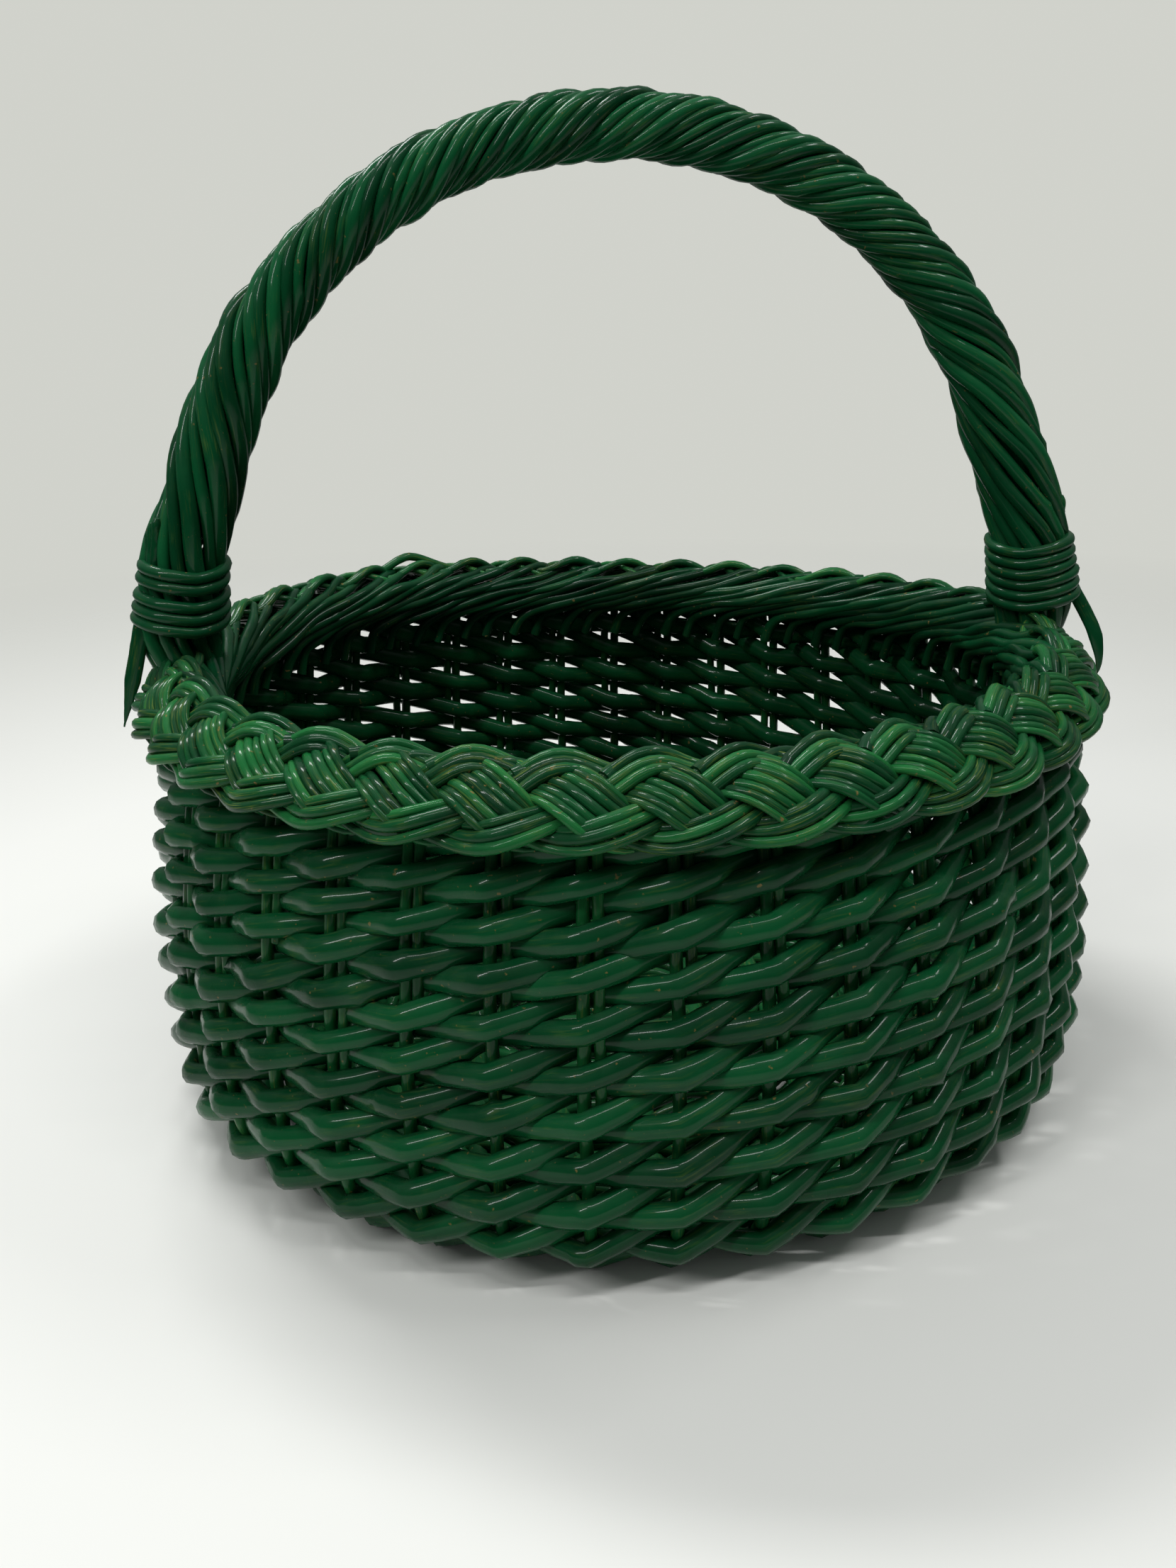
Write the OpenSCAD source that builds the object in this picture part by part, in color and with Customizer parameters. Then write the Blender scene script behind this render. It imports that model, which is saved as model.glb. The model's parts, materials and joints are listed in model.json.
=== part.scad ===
// Oval willow basket with a flat plaited border and a roped bow handle.
// +Z is up, X runs along the basket's long axis and the handle's plane, and
// the origin is on the floor under the middle of the basket. Millimetres.

/* [Body] */
// Length of the body at its widest, along X
body_length = 400; // [380:1:420]
// Width of the body at its widest, along Y
body_width = 353; // [340:1:366]
// Radius of the oval's two ends, at the stakes
end_radius = 146; // [140:1:150]
// Height at which the side bulges most
bulge_height = 55; // [50:1:62]
// Radius of the long upright curve of the side
side_curve = 465; // [440:5:520]
// Radius in which a stake turns up out of the base
turn_up = 26; // [24:1:28]
// Thickness of the woven side and base, from stroke to stroke
wall = 17; // [16:0.5:18]

/* [Stakes and sticks] */
// Number of upright stakes
stake_count = 37; // [33:2:37]
// Diameter of a stake
stake_d = 5; // [4:0.1:5]
// Diameter of the thinner stake that stands beside it
bye_stake_d = 4.2; // [3.6:0.1:4.4]
// Number of short sticks across the base
cross_sticks = 7; // [5:2:7]
// Diameter of a short stick, which the long ones pierce
cross_stick_d = 9; // [8.5:0.5:10]
// Distance from one short stick to the next
cross_spacing = 34; // [32:1:35]
// Number of long sticks in the base
long_sticks = 3; // [2:1:4]
// Diameter of a long stick
long_stick_d = 5; // [4:0.5:5.5]
// Distance from one long stick to the next
long_spacing = 8; // [8:0.5:9]

/* [Border] */
// Height of the top of the border above the floor
border_top = 197; // [196:0.5:199]
// Width of the plait, across its slope
border_width = 38; // [34:1:40]
// Thickness of the plait
border_thick = 14; // [12:0.5:14]
// Slope of the plait below the horizontal, outwards
border_slope = 41.6; // [38:0.1:44]

/* [Handle] */
// Height of the handle's centreline at the top of its arch
handle_top = 385; // [380:1:390]
// Radius of the arch
arch_radius = 165; // [162:1:168]
// Angle by which the legs splay outwards
leg_splay = 22; // [20:0.5:23]
// Angle by which the bound feet splay outwards
foot_splay = 11; // [9:0.5:12]
// Diameter of the bow at the handle's core
bow_d = 12; // [10:0.5:12]
// Diameter of the roped grip
grip_d = 23; // [21:0.5:25]
// Diameter of the gathered rods at the foot of the handle
foot_d = 30; // [28:0.5:31]

/* [Bindings] */
// Turns of the left binding
left_turns = 5; // [4:1:5]
// Diameter of the left binding rod
left_rod = 5.4; // [5:0.1:5.4]
// Turns of the right binding
right_turns = 6; // [4:1:6]
// Diameter of the right binding rod
right_rod = 4.8; // [4.4:0.1:4.8]
// Gap that has opened in the left binding
left_gap = 2.5; // [0:0.5:2.5]
// Turns of the left binding below the gap
left_below_gap = 3; // [1:1:4]
// Distance that the left tail hangs down
left_tail = 30; // [20:1:34]
// Distance that the right tail hangs down
right_tail = 34; // [20:1:36]

/* [Hidden] */
$fn = 48;
clear = 0.1;             // between pieces that lie against each other
oval_steps = 60;         // flats round the oval
green = [0.05, 0.27, 0.11];
dark_green = [0.03, 0.19, 0.08];
light_green = [0.12, 0.40, 0.16];

// The oval through the stakes at the bulge: four tangent arcs
half_length = (body_length - wall) / 2;
half_width = (body_width - wall) / 2;
end_centre = half_length - end_radius;
side_radius = (pow(end_centre, 2) + pow(half_width, 2) - pow(end_radius, 2))
    / (2 * (half_width - end_radius));
side_centre = side_radius - half_width;
end_angle = atan2(side_centre, end_centre);
end_arc = end_radius * end_angle * PI / 180;
side_arc = side_radius * (90 - end_angle) * PI / 180;
quarter = end_arc + side_arc;
perimeter = 4 * quarter;

// The side in section: the turn-up arc, then the long upright arc
mid_plane = wall / 2;                    // height of the base's mid-plane
turn_centre_z = mid_plane + turn_up;
lean = asin((bulge_height - turn_centre_z) / (side_curve - turn_up));
turn_centre_s = (side_curve - turn_up) * cos(lean) - side_curve;
base_edge = turn_centre_s;               // where the base ends and a stake turns up
stake_top = 174.5;
slot = stake_d / 2 + 0.7;                // half the gap that the stakes stand in
outer_top = 167;                         // tops of the outside and inside strokes
inner_top = 174.5;
stake_phase = 0.75;                      // the bow's ends stand between two stakes
bye_beside = 5.4;                        // from a stake to the thinner one beside it
bye_lowest = 70;                         // height that the deepest bye-stake reaches
bye_spread = 50;                         // how much higher the shallowest one ends
base_gap = 5 * clear;                    // round the edge of the base and the bow

// The border's slanted section, from its inner round end to its outer one
border_r = border_thick / 2;
border_run = border_width - border_thick;
border_in = [3, border_top - border_r];
border_out = border_in + border_run * [cos(border_slope), -sin(border_slope)];

// The handle's legs, as distances from the handle's plane and the floor
arch_z = handle_top - arch_radius;
leg_top = [arch_radius * cos(leg_splay), arch_z + arch_radius * sin(leg_splay)];
foot_z = border_top + 4;
foot_length = 32;
knee_z = foot_z + foot_length * cos(foot_splay);
knee = leg_top + (leg_top[1] - knee_z) * [tan(leg_splay), -1];
foot = knee + foot_length * [sin(foot_splay), -cos(foot_splay)];
knee_d = foot_d - 3;                     // the gathered rods at the top of the foot
rim_s = stake_s(border_top);              // stake line's offset at the rim
bow_end = [half_length + stake_s(stake_top), stake_top + 3.5];
tongue_end_z = 110;
tongue_w = 8;
tail_x = half_length + rim_s + border_out[0] + border_r + 0.6;
tail_thick = 2.4;
tail_w = 8;
tail_lean = -2;                          // the tails lean in as they hang
tail_above = 8;                          // the tails start this far below the foot

function stake_name(i) = str("stake_", i < 10 ? "0" : "", i);
function long_name(i) = str("long_base_stick_", i);
function cross_name(i) = str("cross_base_stick_", i);

// Outward offset of the stake line from the bulge oval, at height z on the long arc
function stake_s(z) = sqrt(pow(side_curve, 2) - pow(z - bulge_height, 2)) - side_curve;

// Point and normal angle on the oval, t along it from its +X end
function first_quarter(t) = t <= end_arc
    ? let (a = t / end_radius * 180 / PI)
        [end_centre + end_radius * cos(a), end_radius * sin(a), a]
    : let (a = end_angle + (t - end_arc) / side_radius * 180 / PI)
        [side_radius * cos(a), side_radius * sin(a) - side_centre, a];
function on_oval(t) = let (
        u = t - floor(t / perimeter) * perimeter,
        q = floor(u / quarter),
        r = u - q * quarter,
        p = first_quarter(q % 2 == 0 ? r : quarter - r))
    q == 0 ? p
    : q == 1 ? [-p[0], p[1], 180 - p[2]]
    : q == 2 ? [-p[0], -p[1], 180 + p[2]]
    : [p[0], -p[1], -p[2]];

// The side's section at an offset outside the stake line, from the base's edge to z = top
function side_line(offset, top) = concat(
    [for (i = [0 : 5])
        let (a = -90 + i / 5 * (90 - lean))
        [turn_centre_s, turn_centre_z] + (turn_up + offset) * [cos(a), sin(a)]],
    [for (i = [1 : 4])
        let (a_top = asin((top - bulge_height) / (side_curve + offset)),
            a = -lean + i / 4 * (a_top + lean))
        [-side_curve, bulge_height] + (side_curve + offset) * [cos(a), sin(a)]]);

function reversed(list) = [for (i = [len(list) - 1 : -1 : 0]) list[i]];

// A section with round ends, from p to q
function capsule(p, q, r) = let (a = atan2(q[1] - p[1], q[0] - p[0])) concat(
    [for (i = [0 : 5]) q + r * [cos(a - 90 + i * 36), sin(a - 90 + i * 36)]],
    [for (i = [0 : 5]) p + r * [cos(a + 90 + i * 36), sin(a + 90 + i * 36)]]);

// Joins rings of points into one closed surface: a tube with flat ends, or a loop
module skin_over(rings, loop = false) {
    n = len(rings);
    m = len(rings[0]);
    sides = [for (i = [0 : n - (loop ? 1 : 2)], j = [0 : m - 1])
        let (next = (i + 1) % n * m, k = (j + 1) % m)
        each [[i * m + j, next + j, next + k], [i * m + j, next + k, i * m + k]]];
    ends = loop ? [] : [[for (j = [0 : m - 1]) j],
                        [for (j = [m - 1 : -1 : 0]) (n - 1) * m + j]];
    polyhedron([for (ring = rings) each ring], concat(sides, ends), convexity = 10);
}

// Carries a section, a list of [outward offset, height], round the whole oval
module round_the_oval(section) {
    skin_over([for (i = [0 : oval_steps - 1])
        let (p = on_oval((i + 0.5) * perimeter / oval_steps))
        [for (q = section) [p[0] + q[0] * cos(p[2]), p[1] + q[0] * sin(p[2]), q[1]]]],
        loop = true);
}

// The oval as a flat outline, offset outwards from the stake line
module oval_outline(offset) {
    tangent_x = (side_radius + offset) * cos(end_angle);
    for (side = [-1, 1]) translate([side * end_centre, 0]) circle(r = end_radius + offset);
    intersection() {
        translate([0, side_centre]) circle(r = side_radius + offset);
        translate([0, -side_centre]) circle(r = side_radius + offset);
        square([2 * tangent_x, 2 * half_width], center = true);
    }
}

// Stands a part at arc length t on the oval, drawn in the XZ plane with X outwards
module at_stake(t) {
    p = on_oval(t);
    translate([p[0], p[1], 0]) rotate(p[2]) children();
}

function stake_t(i) = (i - 1 + stake_phase) * perimeter / stake_count;

// A rod that follows the long arc of the side between two heights
module side_rod(d, low, high) {
    from = asin((low - bulge_height) / side_curve);
    to = asin((high - bulge_height) / side_curve);
    translate([-side_curve, 0, bulge_height]) rotate([90, -from, 0])
        rotate_extrude(angle = to - from, $fn = 360)
            translate([side_curve, 0]) circle(d = d, $fn = 24);
}

function side_section(from, to, top) =
    concat(side_line(from, top), reversed(side_line(to, top)));

module base_weave() {
    color(dark_green) difference() {
        linear_extrude(wall) oval_outline(base_edge - base_gap);
        for (i = [1 : long_sticks]) long_bar(i, long_stick_d + 2 * clear, body_length);
        for (i = [1 : cross_sticks]) cross_bar(i, cross_stick_d + 2 * clear, body_width);
    }
}

module long_bar(i, d, length) {
    y = (i - (long_sticks + 1) / 2) * long_spacing;
    translate([-length / 2, y, mid_plane]) rotate([0, 90, 0]) cylinder(d = d, h = length);
}

module cross_bar(i, d, length) {
    x = (i - (cross_sticks + 1) / 2) * cross_spacing;
    translate([x, length / 2, mid_plane]) rotate([90, 0, 0]) cylinder(d = d, h = length);
}

module long_base_stick(i) {
    color(green) long_bar(i, long_stick_d, 2 * (half_length + base_edge) - 3);
}

module cross_base_stick(i) {
    x = (i - (cross_sticks + 1) / 2) * cross_spacing;
    reach = sqrt(pow(side_radius + base_edge, 2) - x * x) - side_centre - 1;
    color(green) difference() {
        cross_bar(i, cross_stick_d, 2 * reach);
        for (k = [1 : long_sticks]) long_bar(k, long_stick_d + 2 * clear, body_length);
    }
}

// Outside and inside strokes of the randing, as two plain skins with the stakes between
module side_weave() {
    color(green) {
        round_the_oval(side_section(slot, wall / 2, outer_top));
        round_the_oval(side_section(-wall / 2, -slot, inner_top));
    }
}

// A stake: out of the base, round the turn-up, and up the side to the border
module stake(i) {
    color(light_green) at_stake(stake_t(i)) {
        translate([turn_centre_s, 0, turn_centre_z]) rotate([90, 90, 0])
            rotate_extrude(angle = 90 - lean) translate([turn_up, 0])
                circle(d = stake_d, $fn = 24);
        side_rod(stake_d, bulge_height - side_curve * sin(lean), stake_top);
    }
}

// Thinner stakes pushed down beside the main ones; the last place is the bow's
module bye_stakes() {
    color(light_green) for (i = [1 : stake_count - 1])
        at_stake(stake_t(i) + bye_beside)
            side_rod(bye_stake_d, bye_lowest + bye_spread * pow(sin(i * 67), 2), stake_top);
}

module plait_border() {
    color(light_green) difference() {
        round_the_oval([for (p = reversed(capsule(border_in, border_out, border_r)))
            p + [rim_s, 0]]);
        for (side = [0, 1]) mirror([side, 0, 0]) bow_end_rod(bow_d + 4 * clear, 4);
    }
}

// The bow's straight end, from the foot of the leg down through the border
module bow_end_rod(d, extra) {
    drop = foot - bow_end;
    angle = atan2(drop[0], drop[1]);
    translate([bow_end[0], 0, bow_end[1]]) rotate([0, angle, 0])
        translate([0, 0, -extra]) cylinder(d = d, h = norm(drop) + 2 * extra);
}

// Right half of the bow's centreline, from the tongue's tip to the top of the arch,
// as [x, z, half thickness, half width along Y]
bow_half = concat(
    [for (i = [0 : 5]) let (z = tongue_end_z + i / 5 * (stake_top - tongue_end_z))
        [half_length + stake_s(z), z, stake_d / 2, tongue_w / 2]],
    [let (p = bow_end + 0.4 * (foot - bow_end)) [p[0], p[1], bow_d / 2, bow_d / 2]],
    [for (p = [foot, knee, leg_top]) [p[0], p[1], bow_d / 2, bow_d / 2]],
    [for (i = [1 : 12]) let (a = leg_splay + i / 12 * (90 - leg_splay))
        [arch_radius * cos(a), arch_z + arch_radius * sin(a), bow_d / 2, bow_d / 2]]);

// Right half of the sleeve's centreline, from the foot to the top
sleeve_half = concat(
    [[foot[0], foot[1], foot_d / 2, foot_d / 2]],
    [for (i = [0 : 3]) let (p = knee + i / 3 * (leg_top - knee),
                            r = knee_d / 2 + i / 3 * (grip_d - knee_d) / 2)
        [p[0], p[1], r, r]],
    [for (i = [1 : 14]) let (a = leg_splay + i / 14 * (90 - leg_splay))
        [arch_radius * cos(a), arch_z + arch_radius * sin(a), grip_d / 2, grip_d / 2]]);

function mirrored(half) = concat(half,
    [for (i = [len(half) - 2 : -1 : 0]) let (p = half[i]) [-p[0], p[1], p[2], p[3]]]);

// Elliptical rings of points along a centreline in the XZ plane
function rings_along(line, sides) = [for (i = [0 : len(line) - 1])
    let (p = line[i], q = line[max(i - 1, 0)], r = line[min(i + 1, len(line) - 1)],
        a = atan2(r[1] - q[1], r[0] - q[0]) + 90)
    [for (j = [0 : sides - 1]) let (b = (j + 0.5) * 360 / sides)
        [p[0] + p[2] * cos(b) * cos(a), -p[3] * sin(b), p[1] + p[2] * cos(b) * sin(a)]]];

// The bow of the handle: an arch, splayed legs, and tongues down inside the side
module handle_bow() {
    color(dark_green) skin_over(rings_along(mirrored(bow_half), 12));
}

// The rods twisted round the bow, as a plain sleeve that widens to the feet
module handle_roping() {
    line = mirrored(sleeve_half);
    bore = bow_d / 2 + base_gap;
    outer = rings_along(line, 16);
    inner = rings_along([for (p = line) [p[0], p[1], bore, bore]], 16);
    color(green) skin_over(concat(outer, reversed(inner)), loop = true);
}

// Turns of a binding rod round the right foot, with a gap below the top ones
module binding(turns, rod, gap, below_gap) {
    for (i = [0 : turns - 1]) {
        up = 3 + i * (rod + clear) + (i >= below_gap ? gap : 0);
        core_r = (foot_d - (foot_d - knee_d) * (up - rod / 2) / foot_length) / 2;
        translate([foot[0], 0, foot[1]]) rotate([0, -foot_splay, 0]) translate([0, 0, up])
            rotate_extrude() translate([core_r + rod / 2 + 2 * clear, 0])
                circle(d = rod, $fn = 24);
    }
}

module binding_left() {
    color(dark_green) mirror([1, 0, 0]) binding(left_turns, left_rod, left_gap, left_below_gap);
}

module binding_right() {
    color(dark_green) binding(right_turns, right_rod, 0, right_turns);
}

// A flat pointed rod end that hangs outside the border under a binding
module tail(length) {
    translate([tail_x, 0, foot_z - tail_above]) rotate([0, tail_lean, 0])
        rotate([90, 0, 90]) linear_extrude(tail_thick)
            polygon([[-tail_w / 2, 0], [tail_w / 2, 0], [tail_w / 2 + 0.5, -length / 2],
                     [0.5, -length], [0.5 - tail_w / 2, -length * 0.6]]);
}

module tail_left() {
    color(dark_green) mirror([1, 0, 0]) tail(left_tail);
}

module tail_right() {
    color(dark_green) tail(right_tail);
}

base_weave();
side_weave();
bye_stakes();
plait_border();
handle_bow();
handle_roping();
binding_left();
binding_right();
tail_left();
tail_right();
for (i = [1 : long_sticks])
    long_base_stick(i);
for (i = [1 : cross_sticks])
    cross_base_stick(i);
for (i = [1 : stake_count])
    stake(i);
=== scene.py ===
# %% [markdown]
# # A painted willow basket with a roped handle
#
# This lesson dresses a plain model of an oval shopping basket in its real willow. The
# basket has a woven oval base, 37 upright stakes, a side woven in slanting strokes, a flat
# plait for a border, and a bow handle with rods twisted round it. All of it was painted
# green and then used for years. The plain model gives every place and size, and we start by
# loading it.

# %% Load the frame
import json
import math

import bpy
import numpy as np
from mathutils import Matrix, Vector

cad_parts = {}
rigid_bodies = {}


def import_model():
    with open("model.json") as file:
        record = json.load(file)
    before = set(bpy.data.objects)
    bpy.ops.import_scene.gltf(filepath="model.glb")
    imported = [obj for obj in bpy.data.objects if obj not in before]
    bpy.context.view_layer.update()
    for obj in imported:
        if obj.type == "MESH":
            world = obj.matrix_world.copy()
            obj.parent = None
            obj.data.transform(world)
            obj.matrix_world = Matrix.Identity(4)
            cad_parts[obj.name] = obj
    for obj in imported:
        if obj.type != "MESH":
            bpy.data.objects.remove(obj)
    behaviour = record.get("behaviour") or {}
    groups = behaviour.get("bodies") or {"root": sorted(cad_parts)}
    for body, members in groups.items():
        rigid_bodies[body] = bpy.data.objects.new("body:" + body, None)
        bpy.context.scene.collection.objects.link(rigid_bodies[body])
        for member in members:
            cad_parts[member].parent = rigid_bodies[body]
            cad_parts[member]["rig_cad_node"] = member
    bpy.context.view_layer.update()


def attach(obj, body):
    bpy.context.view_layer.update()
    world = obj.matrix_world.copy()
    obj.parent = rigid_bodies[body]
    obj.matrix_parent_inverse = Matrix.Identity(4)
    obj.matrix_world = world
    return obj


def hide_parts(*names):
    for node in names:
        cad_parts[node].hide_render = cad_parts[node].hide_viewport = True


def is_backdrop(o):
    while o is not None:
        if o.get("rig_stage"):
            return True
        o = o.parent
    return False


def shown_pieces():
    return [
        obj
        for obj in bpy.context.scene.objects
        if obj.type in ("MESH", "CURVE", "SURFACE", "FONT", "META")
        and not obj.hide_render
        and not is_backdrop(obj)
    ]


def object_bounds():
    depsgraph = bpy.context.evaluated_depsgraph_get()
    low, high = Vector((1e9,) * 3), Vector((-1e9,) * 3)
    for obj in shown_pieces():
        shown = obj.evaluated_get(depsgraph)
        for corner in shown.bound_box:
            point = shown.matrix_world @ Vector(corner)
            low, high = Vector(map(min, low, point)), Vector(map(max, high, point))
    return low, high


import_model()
MM = 0.001

# %% [markdown]
# ## The camera
#
# A camera needs a place, a direction and a lens. It is easiest to think of it as standing on
# a sphere round a target: an azimuth round the basket, an elevation above the floor, and a
# distance. A slight roll finishes it, because a camera held by hand is never quite level.
# We stand close, with a wide lens, so the front of the basket looms and the back shrinks.

# %% Place the camera
TARGET = np.array([-13.9, 0.0, 126.6]) * MM
DISTANCE = 546 * MM
AZIMUTH, ELEVATION, ROLL = (math.radians(a) for a in (-4.56, 21.15, -1.32))
LENS = 28.84


def turned_basis(azimuth, elevation, roll):
    """The camera's right, up and backward directions."""
    back = np.array([
        math.sin(azimuth) * math.cos(elevation),
        -math.cos(azimuth) * math.cos(elevation),
        math.sin(elevation),
    ])
    right = np.cross([0, 0, 1], back)
    right /= np.linalg.norm(right)
    up = np.cross(back, right)
    rolled_right = right * math.cos(roll) + up * math.sin(roll)
    rolled_up = -right * math.sin(roll) + up * math.cos(roll)
    return rolled_right, rolled_up, back


right, up, back = turned_basis(AZIMUTH, ELEVATION, ROLL)
camera_data = bpy.data.cameras.new("camera")
camera_data.lens = LENS
camera_data.sensor_width = 36
camera_data.clip_start = 0.01
camera = bpy.data.objects.new("camera", camera_data)
place = TARGET + DISTANCE * back
camera.matrix_world = Matrix([[*row, p] for row, p in zip(np.stack([right, up, back], 1), place)]
                             + [[0, 0, 0, 1]])
bpy.context.scene.collection.objects.link(camera)
bpy.context.scene.camera = camera
print("camera at", place.round(3))

# %% [markdown]
# ## The oval and the side
#
# Everything in this basket is placed by two numbers: how far round the oval it is, and how
# far up the side. The oval is four tangent arcs, two for the ends and two flatter ones for
# the long sides. The side in section is a tight arc, where a stake turns up out of the
# base, and then one long upright arc. Distances from here on are in millimetres, and they
# become metres only when a mesh is made.

# %% The oval through the stakes
HALF_LENGTH, HALF_WIDTH, END_RADIUS = 191.5, 168.0, 146.0
STAKES = 37
STAKE_PHASE = 0.75

end_centre = HALF_LENGTH - END_RADIUS
side_radius = (end_centre**2 + HALF_WIDTH**2 - END_RADIUS**2) / (2 * (HALF_WIDTH - END_RADIUS))
side_centre = side_radius - HALF_WIDTH
end_angle = math.atan2(side_centre, end_centre)
end_arc = END_RADIUS * end_angle
quarter = end_arc + side_radius * (math.pi / 2 - end_angle)
perimeter = 4 * quarter
cell = perimeter / STAKES


def on_oval(t):
    """Points and outward normals round the oval, at distances t from its +X end."""
    t = np.asarray(t, float) % perimeter
    number = np.minimum(t // quarter, 3).astype(int)
    along = t - number * quarter
    along = np.where(number % 2 == 0, along, quarter - along)
    at_end = along <= end_arc
    angle = np.where(at_end, along / END_RADIUS, end_angle + (along - end_arc) / side_radius)
    radius = np.where(at_end, END_RADIUS, side_radius)
    flip = np.stack([np.where((number == 1) | (number == 2), -1, 1),
                     np.where(number >= 2, -1, 1)], -1)
    normal = np.stack([np.cos(angle), np.sin(angle)], -1)
    centre = np.stack([np.where(at_end, end_centre, 0), np.where(at_end, 0, -side_centre)], -1)
    return (centre + radius[..., None] * normal) * flip, normal * flip


print("perimeter", round(perimeter, 1), "mm, one stake every", round(cell, 2), "mm")

# %% [markdown]
# ## A rim that is not quite level
#
# A basket made by hand is seldom level. The rim of this one is a few millimetres higher in
# three places. One function adds up three soft hills round the oval. Another puts a point
# anywhere on the basket and stretches it upwards by that rise, fully at the rim and not at
# all low down. Every piece is placed through it, so the whole side follows the rim.

# %% Raise parts of the rim
RISES = ((0.0, 4.5, 95.0), (410.0, 8.0, 110.0), (529.0, 4.0, 90.0))
RISE_FROM, RISE_FULL = 90.0, 185.0


def rise_at(t):
    """How much higher the rim is than its lowest, for this basket is not quite level."""
    rise = 0.0
    for middle, height, width in RISES:
        away = (np.asarray(t, float) - middle + perimeter / 2) % perimeter - perimeter / 2
        rise = rise + height * np.exp(-((away / width) ** 2))
    return rise


def lift(t, s, z):
    """Points at t round the oval, s outside the stakes' line and z up, stretched by the rise."""
    point, normal = on_oval(t)
    s, z = np.broadcast_to(s, np.shape(t)), np.broadcast_to(z, np.shape(t))
    z = z + rise_at(t) * np.clip((z - RISE_FROM) / (RISE_FULL - RISE_FROM), 0, 1)
    return np.concatenate([point + s[..., None] * normal, z[..., None]], -1)


def stake_t(i):
    """How far round the oval stake number i stands, counting from 0."""
    return (i + STAKE_PHASE) * cell


print("the rim rises by", rise_at(np.linspace(0, perimeter, 200)).max().round(1), "mm at most")

# %% [markdown]
# ## The side in section
#
# The plain model gives the section of the side: where the turn-up ends, and how far the long
# arc leans. We follow it with one number, the distance up the side from the edge of the
# base, and step off it to the outside or the inside.

# %% The side in section
SIDE_CURVE, BULGE_HEIGHT, TURN_UP, BASE_MIDDLE = 465.0, 55.0, 26.0, 8.5

turn_z = BASE_MIDDLE + TURN_UP
side_lean = math.asin((BULGE_HEIGHT - turn_z) / (SIDE_CURVE - TURN_UP))
turn_s = (SIDE_CURVE - TURN_UP) * math.cos(side_lean) - SIDE_CURVE
turn_length = TURN_UP * (math.pi / 2 - side_lean)


def side_at(v, out=0.0):
    """(s, z) on the side's section: v along it from the base's edge, out away from it."""
    v = np.asarray(v, float)
    low = v < turn_length
    angle = np.where(low, np.clip(v, 0, None) / TURN_UP - math.pi / 2,
                     (v - turn_length) / SIDE_CURVE - side_lean)
    radius = np.where(low, TURN_UP, SIDE_CURVE) + out
    s = np.where(low, turn_s, -SIDE_CURVE) + radius * np.cos(angle) + np.minimum(v, 0)
    z = np.where(low, turn_z, BULGE_HEIGHT) + radius * np.sin(angle)
    return s, z


def on_side(t, v, out=0.0):
    """Points on the side: t round the oval, v up the section, out away from it."""
    return lift(t, *side_at(v, out))


def height_to_v(z):
    """The distance up the side at which its long arc reaches a height."""
    return turn_length + SIDE_CURVE * (math.asin((z - BULGE_HEIGHT) / SIDE_CURVE) + side_lean)


rim_s = float(side_at(height_to_v(197))[0])
print("the side leans in by", round(-rim_s, 1), "mm at the rim")

# %% [markdown]
# ## Drawing rods
#
# A willow rod is a long tapered stick. We describe each one as a line of points with a
# radius at every point, and leave the skin to Geometry Nodes. Each rod also carries a tone,
# so that no two are quite the same green, a pressing direction where it is flattened, and
# now and then a knot, where a side shoot was cut away. Real rods are never straight, so a
# helper adds a slow wobble made of a few sine waves. All random choices come from one
# seeded generator, which makes the same basket every time.

# %% Lines of points
STEP = 3.0


def wobble(rng, distance, wavelength, amount):
    """A smooth random curve along a distance, about as high as amount."""
    total = np.zeros_like(distance)
    for share, stretch in ((0.6, 1.0), (0.4, 0.53), (0.25, 0.29)):
        phase, tweak = rng.uniform(0, 2 * math.pi), rng.uniform(0.85, 1.15)
        total += share * np.sin(2 * math.pi * distance / (wavelength * stretch * tweak) + phase)
    return amount * total


def arc_lengths(points):
    """The distance along a line of points, at each of them."""
    return np.concatenate([[0], np.cumsum(np.linalg.norm(np.diff(points, axis=0), axis=1))])


def smooth_through(controls, step=STEP):
    """A smooth line through control points, whose rows may carry more than x, y and z."""
    rows = np.asarray(controls, float)
    padded = np.concatenate([[2 * rows[0] - rows[1]], rows, [2 * rows[-1] - rows[-2]]])
    line = []
    for a, b, c, d in zip(padded, padded[1:], padded[2:], padded[3:]):
        count = max(1, round(np.linalg.norm((c - b)[:3]) / step))
        u = np.arange(count)[:, None] / count
        line.append(0.5 * (2 * b + (c - a) * u + (2 * a - 5 * b + 4 * c - d) * u**2
                           + (3 * b - a - 3 * c + d) * u**3))
    return np.concatenate(line + [rows[-1:]])


bend = smooth_through([(0, 0, 0), (30, 0, 10), (60, 0, 0)])
print("a bend of", len(bend), "points is", arc_lengths(bend)[-1].round(1), "mm long")

# %% Rods and their knots
KNOT_LENGTH = 2.6


def rod(points, radius, tone=0.5, press=None, knot=None, closed=False):
    """One rod: its line, radius, tone, flattening and knots, each one number or one a point."""
    count = len(points)
    return {
        "points": np.asarray(points, float),
        "radius": np.broadcast_to(radius, count),
        "tone": np.broadcast_to(tone, count),
        "press": np.zeros((count, 3)) if press is None else np.broadcast_to(press, (count, 3)),
        "knot": np.zeros((count, 3)) if knot is None else knot,
        "closed": closed,
    }


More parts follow.
